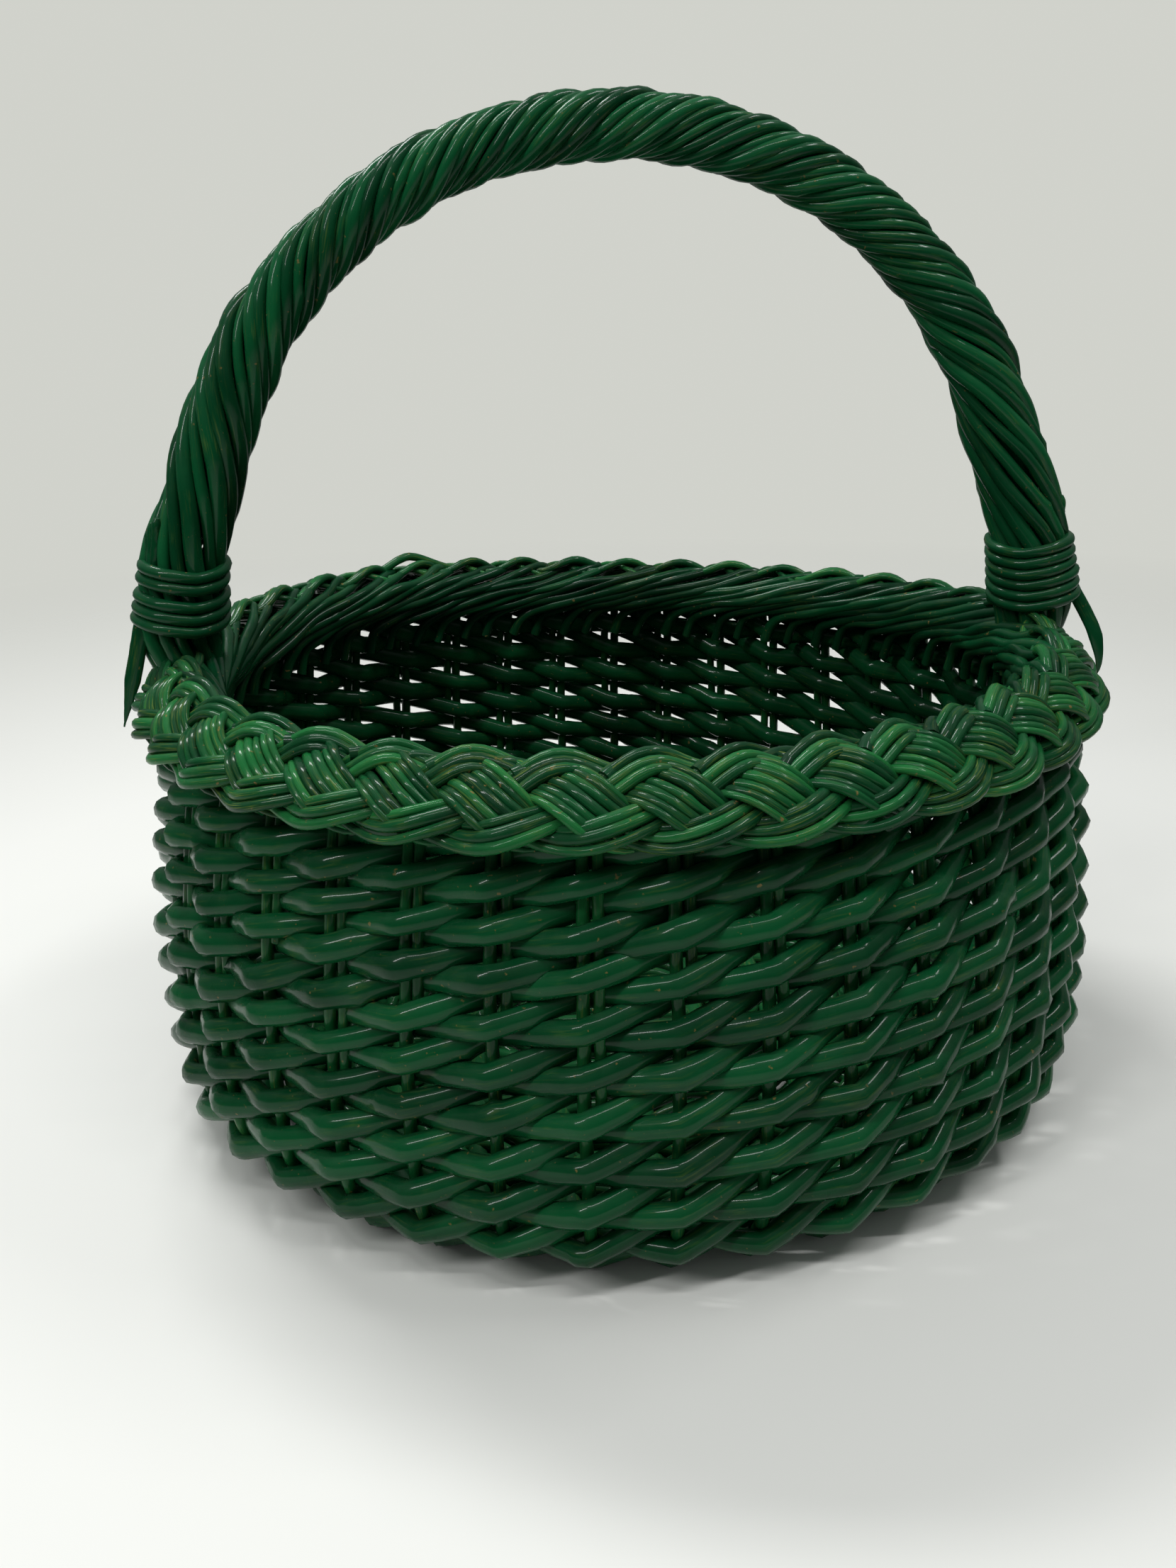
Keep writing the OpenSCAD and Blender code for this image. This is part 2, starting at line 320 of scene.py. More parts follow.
def knots_along(rng, points, every, size):
    """A knot vector at each point: mostly nothing, with short swellings to one side."""
    distance = arc_lengths(points)
    knot = np.zeros((len(points), 3))
    for place_on in np.arange(rng.uniform(0, every), distance[-1], every):
        middle = place_on + rng.uniform(-0.4, 0.4) * every
        way = rng.normal(size=3)
        swell = size * rng.uniform(0.5, 1.3) * np.exp(-((distance - middle) / KNOT_LENGTH) ** 2)
        knot += swell[:, None] * way / np.linalg.norm(way)
    return knot


print("a rod is described by its", ", ".join(rod(bend, 2.5)))


# %% Lines as an edge mesh
def rods_as_edges(name, rods):
    """One mesh of bare edges that holds many rods, with their attributes on its points."""
    starts = np.cumsum([0] + [len(r["points"]) for r in rods])
    edges = []
    for start, end, one in zip(starts, starts[1:], rods):
        edges += [(i, i + 1) for i in range(start, end - 1)]
        if one["closed"]:
            edges.append((end - 1, start))
    mesh = bpy.data.meshes.new(name)
    mesh.from_pydata(np.concatenate([r["points"] for r in rods]) * MM, edges, [])
    along = np.concatenate([arc_lengths(r["points"]) + 1000 * i for i, r in enumerate(rods)])
    numbers = {"radius": np.concatenate([r["radius"] for r in rods]) * MM,
               "tone": np.concatenate([r["tone"] for r in rods]), "along": along * MM}
    for key, values in numbers.items():
        mesh.attributes.new(key, "FLOAT", "POINT").data.foreach_set("value", values)
    vectors = {"press": np.concatenate([r["press"] for r in rods]),
               "knot": np.concatenate([r["knot"] for r in rods]) * MM}
    for key, values in vectors.items():
        layer = mesh.attributes.new(key, "FLOAT_VECTOR", "POINT")
        layer.data.foreach_set("vector", values.ravel())
    return mesh


print("lines are sampled every", STEP, "mm and become edges")

# %% [markdown]
# ## The rod tree
#
# One Geometry Nodes tree skins every rod in the basket. Mesh to Curve joins the edges into
# lines, and Curve to Mesh sweeps a round profile along them, scaled by the radius at each
# point. Two Set Position nodes then shape the bark: the first flattens the rod towards its
# own core along the pressing direction, and the second lifts the knots and adds a fine
# unevenness from a noise with a fixed seed. The profile's own position is stored as
# "around", which lets a material know where it is on the rod's girth without any seam.

# %% Helpers for node trees
def new_tree(name, inputs):
    """An empty Geometry Nodes tree with named inputs, and its two end nodes."""
    tree = bpy.data.node_groups.new(name, "GeometryNodeTree")
    tree.interface.new_socket("Geometry", in_out="INPUT", socket_type="NodeSocketGeometry")
    for label, kind, value in inputs:
        socket = tree.interface.new_socket(label, in_out="INPUT", socket_type="NodeSocket" + kind)
        if value is not None:
            socket.default_value = value
    tree.interface.new_socket("Geometry", in_out="OUTPUT", socket_type="NodeSocketGeometry")
    return tree, tree.nodes.new("NodeGroupInput"), tree.nodes.new("NodeGroupOutput")


def add_node(tree, kind, links=None, **settings):
    """A node with its settings, its inputs linked to sockets or set to plain values."""
    node = tree.nodes.new(kind)
    for key, value in settings.items():
        setattr(node, key, value)
    for key, value in (links or {}).items():
        if isinstance(value, bpy.types.NodeSocket):
            tree.links.new(value, node.inputs[key])
        else:
            node.inputs[key].default_value = value
    return node


def read_attribute(tree, name, kind="FLOAT"):
    """The socket that gives a named attribute."""
    node = add_node(tree, "GeometryNodeInputNamedAttribute", {"Name": name}, data_type=kind)
    return node.outputs["Attribute"]


def vector_math(tree, operation, *inputs):
    """A Vector Math node's result, from sockets or plain values."""
    links = {"Scale" if operation == "SCALE" and i == 1 else i: v for i, v in enumerate(inputs)}
    node = add_node(tree, "ShaderNodeVectorMath", links, operation=operation)
    return node.outputs["Value" if operation in ("DOT_PRODUCT", "LENGTH") else "Vector"]


def number_math(tree, operation, *inputs):
    """A Math node's result, from sockets or plain values."""
    node = add_node(tree, "ShaderNodeMath", dict(enumerate(inputs)), operation=operation)
    return node.outputs[0]


tree_helpers = (new_tree, add_node, read_attribute, vector_math, number_math)
print("helpers:", ", ".join(helper.__name__ for helper in tree_helpers))


# %% Flatten the rods and shape their bark
def pressed_flat(tree, skin, position):
    """The rods, flattened towards their cores along the pressing direction."""
    press = read_attribute(tree, "press", "FLOAT_VECTOR")
    core = read_attribute(tree, "core", "FLOAT_VECTOR")
    way = vector_math(tree, "NORMALIZE", press)
    from_core = vector_math(tree, "SUBTRACT", position, core)
    depth = number_math(tree, "MULTIPLY", vector_math(tree, "DOT_PRODUCT", from_core, way),
                        vector_math(tree, "LENGTH", press))
    inwards = vector_math(tree, "SCALE", way, number_math(tree, "MULTIPLY", depth, -1.0))
    return add_node(tree, "GeometryNodeSetPosition", {"Geometry": skin, "Offset": inwards}).outputs[0]


def bumpy_bark(tree, flat, position, sizes):
    """The rods, with their knots and a fine unevenness."""
    normal = add_node(tree, "GeometryNodeInputNormal").outputs[0]
    knot = read_attribute(tree, "knot", "FLOAT_VECTOR")
    swelling = number_math(tree, "MAXIMUM", vector_math(tree, "DOT_PRODUCT", normal, knot), 0.0)
    noise = add_node(tree, "ShaderNodeTexNoise", {
        "Vector": position, "W": sizes["Seed"], "Scale": sizes["Bark Scale"], "Detail": 2.0},
        noise_dimensions="4D")
    bark = number_math(tree, "MULTIPLY", number_math(tree, "SUBTRACT", noise.outputs["Fac"], 0.5),
                       sizes["Bark Height"])
    bark = number_math(tree, "MULTIPLY", bark, 2.0)
    height = number_math(tree, "ADD", swelling, bark)
    offset = vector_math(tree, "SCALE", normal, height)
    return add_node(tree, "GeometryNodeSetPosition", {"Geometry": flat, "Offset": offset}).outputs[0]


print("a rod's skin is shaped by", pressed_flat.__name__, "and then by", bumpy_bark.__name__)


# %% Build the rod tree
def build_rod_tree():
    """Edges with a radius and other attributes in, a skinned and bumpy rod out."""
    tree, group_in, group_out = new_tree("skin_rods", [
        ("Sides", "Int", 10), ("Bark Height", "Float", 0.0002), ("Bark Scale", "Float", 260.0),
        ("Seed", "Float", 1.0), ("Material", "Material", None)])
    curve = add_node(tree, "GeometryNodeMeshToCurve", {"Mesh": group_in.outputs["Geometry"]})
    position = add_node(tree, "GeometryNodeInputPosition").outputs[0]
    curve = add_node(tree, "GeometryNodeStoreNamedAttribute", {
        "Geometry": curve.outputs[0], "Name": "core", "Value": position}, data_type="FLOAT_VECTOR")
    circle = add_node(tree, "GeometryNodeCurvePrimitiveCircle",
                      {"Resolution": group_in.outputs["Sides"], "Radius": 1.0})
    profile = add_node(tree, "GeometryNodeStoreNamedAttribute", {
        "Geometry": circle.outputs[0], "Name": "around", "Value": position},
        data_type="FLOAT_VECTOR")
    skin = add_node(tree, "GeometryNodeCurveToMesh", {
        "Curve": curve.outputs[0], "Profile Curve": profile.outputs[0],
        "Scale": read_attribute(tree, "radius"), "Fill Caps": True})
    flat = pressed_flat(tree, skin.outputs[0], position)
    bumpy = bumpy_bark(tree, flat, position, group_in.outputs)
    smooth = add_node(tree, "GeometryNodeSetShadeSmooth", {"Geometry": bumpy})
    real = add_node(tree, "GeometryNodeRealizeInstances", {"Geometry": smooth.outputs[0]})
    finished = add_node(tree, "GeometryNodeSetMaterial", {
        "Geometry": real.outputs[0], "Material": group_in.outputs["Material"]})
    tree.links.new(finished.outputs[0], group_out.inputs["Geometry"])
    return tree


rod_tree = build_rod_tree()
print("the rod tree has", len(rod_tree.nodes), "nodes")

# %% [markdown]
# ## From lines to a piece
#
# A modifier keeps its result to itself. We set the tree's inputs by their identifiers, ask
# Blender for the evaluated object, and turn that into a plain mesh. The mesh is the piece:
# it gets the body that it rides on and the paint slot that it fills, and the plain solids
# whose place it takes are hidden. Nothing may reach below the floor, so low points are raised.

# %% Skin a list of rods
def evaluated_mesh(name, rods, values):
    """The plain mesh that the rod tree makes of a list of rods, with its inputs' values."""
    source = bpy.data.objects.new(name + "_lines", rods_as_edges(name + "_lines", rods))
    bpy.context.scene.collection.objects.link(source)
    modifier = source.modifiers.new("rods", "NODES")
    modifier.node_group = rod_tree
    for item in rod_tree.interface.items_tree:
        if item.in_out == "INPUT" and item.name in values:
            modifier[item.identifier] = values[item.name]
    evaluated = source.evaluated_get(bpy.context.evaluated_depsgraph_get())
    mesh = bpy.data.meshes.new_from_object(evaluated)
    mesh.name = name
    source.modifiers.remove(modifier)
    bpy.data.objects.remove(source)
    places = np.empty(3 * len(mesh.vertices), np.float32)
    mesh.vertices.foreach_get("co", places)
    places[2::3] = np.maximum(places[2::3], 0)
    mesh.vertices.foreach_set("co", places)
    for spent in ("press", "knot", "core"):
        if spent in mesh.attributes:
            mesh.attributes.remove(mesh.attributes[spent])
    return mesh


def skin_rods(name, rods, material, replaced=(), sides=10, bark=0.2, grain=260.0):
    """Makes one piece of many rods, gives it its body, and hides the nodes it stands for."""
    mesh = evaluated_mesh(name, rods, {"Sides": sides, "Bark Height": bark * MM, "Bark Scale": grain,
                                       "Seed": 1.0, "Material": material})
    piece = bpy.data.objects.new(name, mesh)
    bpy.context.scene.collection.objects.link(piece)
    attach(piece, "root")
    if replaced:
        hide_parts(*replaced)
    mesh.calc_loop_triangles()
    print(f"{name}: {len(rods)} rods, {len(mesh.loop_triangles)} triangles")


# %% [markdown]
# ## Painted willow
#
# The basket's finish is one thing seen in several moods: green enamel brushed over bark.
# The brush left the paint thick and glossy on the outside strokes and thin on the border,
# where the yellow-green of the first coat shows in lines. The rods inside the rim are given a
# darker copy of the green, which is painted shade. One node group works out the colour, the
# roughness and the height from the rod's own attributes, and each material sets its greens.
# The grain runs along the rod because the noise is squeezed round the girth and stretched
# along the length.

# %% Helpers for paint
def shader_group(name, inputs, outputs):
    """An empty shader group with its sockets, and its two end nodes."""
    group = bpy.data.node_groups.new(name, "ShaderNodeTree")
    for label, kind, value in inputs:
        socket = group.interface.new_socket(label, in_out="INPUT", socket_type="NodeSocket" + kind)
        socket.default_value = value
    for label, kind in outputs:
        group.interface.new_socket(label, in_out="OUTPUT", socket_type="NodeSocket" + kind)
    return group, group.nodes.new("NodeGroupInput"), group.nodes.new("NodeGroupOutput")


def mix_colour(tree, amount, first, second):
    """The colour between two colours."""
    node = add_node(tree, "ShaderNodeMix", {}, data_type="RGBA")
    for socket, value in zip((node.inputs[0], node.inputs[6], node.inputs[7]),
                             (amount, first, second)):
        if isinstance(value, bpy.types.NodeSocket):
            tree.links.new(value, socket)
        else:
            socket.default_value = value
    return node.outputs[2]


def noise_value(tree, vector, scale, detail=2.0):
    """A noise texture's value."""
    node = add_node(tree, "ShaderNodeTexNoise", {"Vector": vector, "Scale": scale, "Detail": detail})
    return node.outputs["Fac"]


def remap(tree, value, low, high):
    """A value stretched so that low becomes 0 and high becomes 1, and held there."""
    node = add_node(tree, "ShaderNodeMapRange",
                    {"Value": value, "From Min": low, "From Max": high})
    return node.outputs["Result"]


paint_helpers = (shader_group, mix_colour, noise_value, remap)
print("helpers:", ", ".join(helper.__name__ for helper in paint_helpers))

# %% Noises that follow the rod
FIBRE_STRETCH, PATCH_STRETCH, PATCH_GIRTH = 22.0, 30.0, 0.35


def willow_noises(group):
    """Fibres, hairs and patches that run along the rod, and others that ignore it."""
    along = add_node(group, "ShaderNodeAttribute", attribute_name="along").outputs["Fac"]
    around = add_node(group, "ShaderNodeAttribute", attribute_name="around").outputs["Vector"]
    place = add_node(group, "ShaderNodeTexCoord").outputs["Object"]
    length = add_node(group, "ShaderNodeCombineXYZ", {"Z": along}).outputs[0]
    fine = vector_math(group, "ADD", around, vector_math(group, "SCALE", length, FIBRE_STRETCH))
    coarse = vector_math(group, "ADD", vector_math(group, "SCALE", around, PATCH_GIRTH),
                         vector_math(group, "SCALE", length, PATCH_STRETCH))
    kinds = {"fibres": (fine, 5.0, 3.0), "hairs": (fine, 14.0, 2.0), "patches": (coarse, 1.4, 3.0),
             "clouds": (place, 55.0, 3.0), "dust": (place, 140.0, 3.0), "flakes": (place, 420.0, 2.0)}
    return {kind: noise_value(group, *values) for kind, values in kinds.items()}


print("the grain is stretched", FIBRE_STRETCH, "to a metre of rod")

# %% Greens, dust and chips
FIRST_COAT = (0.16, 0.22, 0.035, 1)
DUST_COLOUR = (0.09, 0.15, 0.10, 1)
BARE_WILLOW = (0.24, 0.15, 0.05, 1)


def enamel_colour(group, sockets, noises):
    """The rod's own green, with lines of the first coat along its fibres."""
    tone = add_node(group, "ShaderNodeAttribute", attribute_name="tone").outputs["Fac"]
    shade = number_math(group, "ADD", number_math(group, "MULTIPLY", tone, 0.55),
                        number_math(group, "MULTIPLY", noises["patches"], 0.45))
    deep = mix_colour(group, remap(group, shade, 0.25, 0.55), sockets["Dark"], sockets["Middle"])
    green = mix_colour(group, remap(group, shade, 0.5, 0.9), deep, sockets["Light"])
    line = number_math(group, "MULTIPLY", remap(group, noises["fibres"], 0.53, 0.7),
                       remap(group, noises["clouds"], 0.42, 0.62))
    line = number_math(group, "MULTIPLY", line, sockets["Streaks"])
    return mix_colour(group, line, green, FIRST_COAT)


def years_of_use(group, sockets, noises, colour):
    """The colour with dust on top and chips down to the wood, and how dusty it is."""
    geometry = add_node(group, "ShaderNodeNewGeometry")
    facing = add_node(group, "ShaderNodeSeparateXYZ", {"Vector": geometry.outputs["Normal"]})
    grime = number_math(group, "MULTIPLY", remap(group, facing.outputs["Z"], 0.1, 0.95),
                        remap(group, noises["dust"], 0.4, 0.75))
    grime = number_math(group, "MULTIPLY", grime, sockets["Dust"])
    dusty = mix_colour(group, grime, colour, DUST_COLOUR)
    chip = number_math(group, "MULTIPLY", remap(group, noises["flakes"], 0.7, 0.76),
                       sockets["Chips"])
    return mix_colour(group, chip, dusty, BARE_WILLOW), grime


print("where the enamel is thin, it shows", FIRST_COAT[:3])


# %% The paint group
def build_paint_group():
    """Green enamel over willow bark: colour, roughness and height along a rod."""
    group, group_in, group_out = shader_group("painted_willow", [
        ("Dark", "Color", (0, 0, 0, 1)), ("Middle", "Color", (0, 0, 0, 1)),
        ("Light", "Color", (0, 0, 0, 1)), ("Streaks", "Float", 0.3), ("Dust", "Float", 0.2),
        ("Chips", "Float", 0.1), ("Gloss", "Float", 0.3)],
        [("Color", "Color"), ("Roughness", "Float"), ("Height", "Float")])
    noises = willow_noises(group)
    green = enamel_colour(group, group_in.outputs, noises)
    colour, grime = years_of_use(group, group_in.outputs, noises, green)
    cloudy = number_math(group, "MULTIPLY", remap(group, noises["clouds"], 0.35, 0.7), 0.16)
    rough = number_math(group, "ADD", group_in.outputs["Gloss"], cloudy)
    rough = number_math(group, "ADD", rough, number_math(group, "MULTIPLY", grime, 0.8))
    height = number_math(group, "ADD", number_math(group, "MULTIPLY", noises["fibres"], 0.7),
                         number_math(group, "MULTIPLY", noises["hairs"], 0.3))
    for socket, value in (("Color", colour), ("Roughness", rough), ("Height", height)):
        group.links.new(value, group_out.inputs[socket])
    return group


paint_group = build_paint_group()
print("the paint group has", len(paint_group.nodes), "nodes")

# %% [markdown]
# ## One paint, six moods
#
# A material holds only what a group can't: the shader, the bump that reads the group's
# height, and a thin clear coat for the gloss of enamel. The specular level is low, because
# dark enamel in soft light shows its own green and only the coat gives sharp highlights.

# %% Materials from the group
RELIEF, SPECULAR, COAT, COAT_ROUGHNESS = 0.0006, 0.04, 0.27, 0.1


def painted(name, dark, middle, light, bump=0.25, **values):
    """A willow material: its three greens and the group's other values."""
    material = bpy.data.materials.new(name)
    material.use_nodes = True
    tree = material.node_tree
    shader = tree.nodes["Principled BSDF"]
    group = add_node(tree, "ShaderNodeGroup", node_tree=paint_group)
    for label, colour in (("Dark", dark), ("Middle", middle), ("Light", light)):
        group.inputs[label].default_value = (*colour, 1)
    for label, value in values.items():
        group.inputs[label].default_value = value
    relief = add_node(tree, "ShaderNodeBump", {
        "Height": group.outputs["Height"], "Strength": bump, "Distance": RELIEF})
    tree.links.new(group.outputs["Color"], shader.inputs["Base Color"])
    tree.links.new(group.outputs["Roughness"], shader.inputs["Roughness"])
    tree.links.new(relief.outputs["Normal"], shader.inputs["Normal"])
    shader.inputs["Specular IOR Level"].default_value = SPECULAR
    shader.inputs["Coat Weight"].default_value = COAT
    shader.inputs["Coat Roughness"].default_value = COAT_ROUGHNESS
    return material


weave_paint = painted("weave_paint", (0.0016, 0.034, 0.011), (0.0026, 0.062, 0.019),
                      (0.0045, 0.09, 0.027), Streaks=0.14, Dust=0.1, Chips=0.5, Gloss=0.2)
stake_paint = painted("stake_paint", (0.0025, 0.040, 0.012), (0.004, 0.075, 0.020),
                      (0.012, 0.14, 0.033), Streaks=0.4, Dust=0.1, Chips=0.6, Gloss=0.25)
border_paint = painted("border_paint", (0.0016, 0.030, 0.010), (0.004, 0.070, 0.020),
                       (0.017, 0.18, 0.042), bump=0.6, Streaks=0.75, Dust=0.16, Chips=0.7, Gloss=0.22)
# A darker copy of the same green for the rods inside the rim: painted shade.
shaded_inside_paint = painted("shaded_inside_paint", (0.001, 0.022, 0.008), (0.002, 0.042, 0.014),
                       (0.004, 0.072, 0.022), Streaks=0.2, Dust=0.1, Chips=0.6, Gloss=0.24)
handle_paint = painted("handle_paint", (0.0016, 0.036, 0.012), (0.0028, 0.064, 0.021),
                       (0.006, 0.105, 0.033), Streaks=0.22, Dust=0.1, Chips=0.5, Gloss=0.2)
base_paint = painted("base_paint", (0.003, 0.034, 0.010), (0.005, 0.064, 0.018),
                     (0.010, 0.11, 0.030), Streaks=0.3, Dust=0.1, Chips=0.9, Gloss=0.4)
print("painted:", ", ".join(m.name for m in bpy.data.materials if m.name.endswith("_paint")))

# %% [markdown]
# ## The woven side
#
# The side is randing worked with one rod for every stake. Each rod goes in front of one
# stake and behind the next, and climbs as it goes, so all 37 of them slant up together like
# a screw thread. At any stake the outside shows every second level and the inside shows the
# levels between. The rods are thick at the base and thin at the rim, and the levels draw
# closer together to match. Between two stakes a rod is nearly straight, and it bends
# sharply where it passes one.

# %% Levels of the weave
STROKES = 22
FIRST_V, FIRST_PITCH, LAST_PITCH = 9.0, 18.8, 14.2
THICK_ROD, THIN_ROD = 5.15, 4.55
SWING = 5.6
STRAIGHTNESS = 0.92
PRESSED = 0.2
STEPS_PER_STROKE = 12


def level_to_v(level):
    """How far up the side a level of the weave lies; the first level is 1."""
    rounds = (STROKES + 1) / 2 - 1
    step = np.asarray(level, float) - 1
    return FIRST_V + FIRST_PITCH * step - (FIRST_PITCH - LAST_PITCH) * step**2 / (2 * rounds)


def in_and_out(stroke):
    """+1 in front of the odd stakes, -1 behind the even ones, nearly straight between."""
    bent = (2 / math.pi) * np.arcsin(np.cos(math.pi * stroke))
    return -(STRAIGHTNESS * bent + (1 - STRAIGHTNESS) * np.cos(math.pi * stroke))


print("the top level lies", float(level_to_v((STROKES + 1) / 2)), "mm up the side")


# %% Weave the side
def side_rod(rng, number):
    """The rod that starts behind one stake and climbs to the rim."""
    stroke = np.linspace(0, STROKES, STROKES * STEPS_PER_STROKE + 1)
    share = stroke / STROKES
    t = stake_t(number) + stroke * cell
    shifts = rng.normal(0, 0.7, STROKES + 1)
    swings = SWING * rng.uniform(0.9, 1.12, STROKES + 1)
    v = level_to_v((stroke + 1) / 2) + np.interp(stroke, np.arange(STROKES + 1), shifts)
    out = in_and_out(stroke) * np.interp(stroke, np.arange(STROKES + 1), swings)
    radius = (THICK_ROD + (THIN_ROD - THICK_ROD) * share) * rng.uniform(0.9, 1.08)
    radius = radius * (1 + wobble(rng, t - t[0], 70, 0.09))
    radius[-4:] *= (0.95, 0.9, 0.8, 0.6)
    points = on_side(t, v, out)
    press = (on_side(t, v, 1.0) - on_side(t, v, 0.0)) * PRESSED
    tone = np.clip(rng.uniform(0.2, 0.8) + wobble(rng, t - t[0], 90, 0.15), 0, 1)
    return rod(points, radius, tone, press, knots_along(rng, points, 70, 1.6))


rng = np.random.default_rng(11)
side_rods = [side_rod(rng, i) for i in range(STAKES)]
for part, name in enumerate(("woven_side_a", "woven_side_b")):
    skin_rods(name, side_rods[part::2], weave_paint, ["side_weave"], bark=0.36,
              grain=190)

# %% [markdown]
# ## Stakes and bye-stakes
#
# A stake lies flat in the base, turns up through a tight bend and runs up inside the weave
# to the border. After the weaver has gone a third of the way up, a second and thinner
# stake is pushed down beside each one, which stiffens the side and gives the border more
# rods to plait with. Both are seen between the strokes as short lengths of brighter green.

# %% Set the stakes
STAKE_RADIUS, BYE_RADIUS, BYE_BESIDE = 2.5, 2.0, 5.0
STAKE_TOP, STAKE_TAIL = 182.0, 60.0
BYE_LOWEST, BYE_SPREAD, BYE_STEP = 70, 50, 67


def upright(rng, t, low, high, radius):
    """A stake from low to high along the side's section, a little off the true line."""
    v = np.arange(low, high, STEP)
    around = t + wobble(rng, v, 160, 0.5)
    points = on_side(around, v, wobble(rng, v, 130, 0.35))
    girth = radius * (1.03 - 0.0006 * (v - low)) * (1 + wobble(rng, v, 60, 0.03))
    return rod(points, girth, rng.uniform(0.3, 0.9), knot=knots_along(rng, points, 90, 0.7))


stakes = [upright(rng, stake_t(i), -STAKE_TAIL, STAKE_TOP, STAKE_RADIUS) for i in range(STAKES)]
skin_rods("upright_stakes", stakes, stake_paint,
          [f"stake_{i:02d}" for i in range(1, STAKES + 1)], bark=0.12)
bye_stakes = []
for i in range(STAKES - 1):
    low = height_to_v(BYE_LOWEST + BYE_SPREAD * math.sin(math.radians(BYE_STEP * (i + 1))) ** 2)
    bye_stakes.append(upright(rng, stake_t(i) + BYE_BESIDE, low, STAKE_TOP, BYE_RADIUS))
skin_rods("side_bye_stakes", bye_stakes, stake_paint, ["bye_stakes"], bark=0.12)

# %% [markdown]
# ## The plaited border
#
# At the rim the stakes are laid down and plaited into one flat braid that slopes outwards.
# A braid is easy to write down in its own coordinates: t runs round the rim, w runs across
# the slope from the inner edge to the outer one, and h stands up from it. One strand swings
# across the braid as a cosine of its phase and bobs over and under three times as fast, so
# it lies over its neighbours at both edges going up, and over them in the middle going
# down. The phase repeats every four stakes, and the strand closes on itself after four
# rounds of the rim. Each strand is a band of three rods, drawn beside the strand's middle
# line, and the band is a little slimmer on its way down, where the braid is tight.

# %% The slope of the border
EDGE_IN = np.array([rim_s - 1.0, 191.0])
EDGE_OUT = np.array([rim_s + 24.5, 169.0])
BOW_ANGLE = math.radians(26)

chord = EDGE_OUT - EDGE_IN
chord_angle = math.atan2(chord[1], chord[0])
slope_radius = np.linalg.norm(chord) / 2 / math.sin(BOW_ANGLE)
outwards = np.array([-math.sin(chord_angle), math.cos(chord_angle)])
slope_centre = (EDGE_IN + EDGE_OUT) / 2 - outwards * slope_radius * math.cos(BOW_ANGLE)


def on_border(t, w, h):
    """Points on the border's slope: w across it, outer edge positive, and h above it."""
    angle = chord_angle + math.pi / 2 - np.asarray(w) / slope_radius
    radius = slope_radius + np.asarray(h)
    s = slope_centre[0] + radius * np.cos(angle)
    return lift(t, s, slope_centre[1] + radius * np.sin(angle))


print("the border's slope has a radius of", round(slope_radius, 1), "mm")

# %% The path of a strand
STRAND_CELLS = 4
STRAND_SWING, STRAND_LIFT = 12.9, 3.0
HURRY, SLIM = 0.08, 0.14
BAND_RADII = (1.8, 2.15, 1.9)
PACKING = 0.93

period = STRAND_CELLS * cell
edges = np.concatenate([[0], np.cumsum(2 * np.array(BAND_RADII))])
band_places = PACKING * ((edges[:-1] + edges[1:]) / 2 - edges[-1] / 2)


def slim(distance):
    """How wide a band is, 1 on its way up the slope and less on its way down."""
    return 1 - SLIM * (0.5 - 0.5 * np.sin(2 * math.pi * distance / period)) ** 2


def band_point(distance, beside):
    """t, w and h of a line that runs beside a strand's middle, at a distance round the rim."""
    even = 2 * math.pi * distance / period
    phase = even + HURRY * np.cos(even)
    slope = -np.sin(phase) * (STRAND_SWING * 2 * math.pi / period * (1 - HURRY * np.sin(even)))
    stretch = np.sqrt(1 + slope**2)
    beside = beside * slim(distance)
    t = stake_t(0) + distance - beside * slope / stretch
    w = STRAND_SWING * np.cos(phase) + beside / stretch
    return t, w, STRAND_LIFT * np.sin(3 * phase)


print("a band is", edges[-1], "mm wide, and swings across every", round(period, 1), "mm")


# %% Plait the border
def endless_strand(rng, beside, radius):
    """One of the rods that run on round the rim."""
    length = STRAND_CELLS * perimeter
    count = int(length / STEP)
    distance = np.arange(count) * length / count
    fade = np.minimum(1, np.minimum(distance, length - distance) / 60)
    drift = beside + fade * wobble(rng, distance, 150, 0.5)
    t, w, h = band_point(distance, drift)
    points = on_border(t, w, h + fade * wobble(rng, distance, 110, 0.35))
    girth = radius * slim(distance) * (1 + fade * wobble(rng, distance, 170, 0.18))
    tone = np.clip(0.55 + fade * wobble(rng, distance, 260, 0.4), 0, 1)
    return rod(points, girth, tone, knot=knots_along(rng, points, 75, 0.8), closed=True)


rng = np.random.default_rng(23)
strands = [endless_strand(rng, beside, radius) for beside, radius in zip(band_places, BAND_RADII)]
skin_rods("plaited_border", strands, border_paint, ["plait_border"])

# %% [markdown]
# ## The stakes laid over inside the rim
#
# Above the weave every stake leans over along the rim, rises slowly past three or four of
# its neighbours, and dives in under the plait. Together they make the slanting lines under
# the inner edge. One row of offsets describes such a rod: how far back round the oval, how
# far out, and how high. Each stake has its bye-stake with it, so there are two at each place.

# %% Lay the stakes over
LEAN_STEPS = ((0.0, -0.5, 155.0), (-4.0, -2.0, 164.0), (-12.0, -4.5, 169.0), (-30.0, -6.5, 173.0),
              (-52.0, -7.0, 177.5), (-75.0, -6.5, 182.0), (-95.0, -3.0, 186.0), (-108.0, 3.0, 189.0),
              (-114.0, 7.0, 188.0))
LAID_PAIR = ((0.0, 2.5), (-13.0, 2.2))


def laid_stake(rng, t, radius):
    """The top of a stake, which bends over along the rim and slips in under the plait."""
    controls = [lift(np.array([t + dt]), rim_s + s + rng.uniform(-0.7, 0.7),
                     z + rng.uniform(-1.2, 1.2))[0] for dt, s, z in LEAN_STEPS]
    points = smooth_through(controls)
    distance = arc_lengths(points)
    girth = radius * (1 + wobble(rng, distance, 60, 0.08))
    tone = rng.uniform(0.1, 0.8)
    return rod(points, girth, tone, knot=knots_along(rng, points, 80, 0.8))


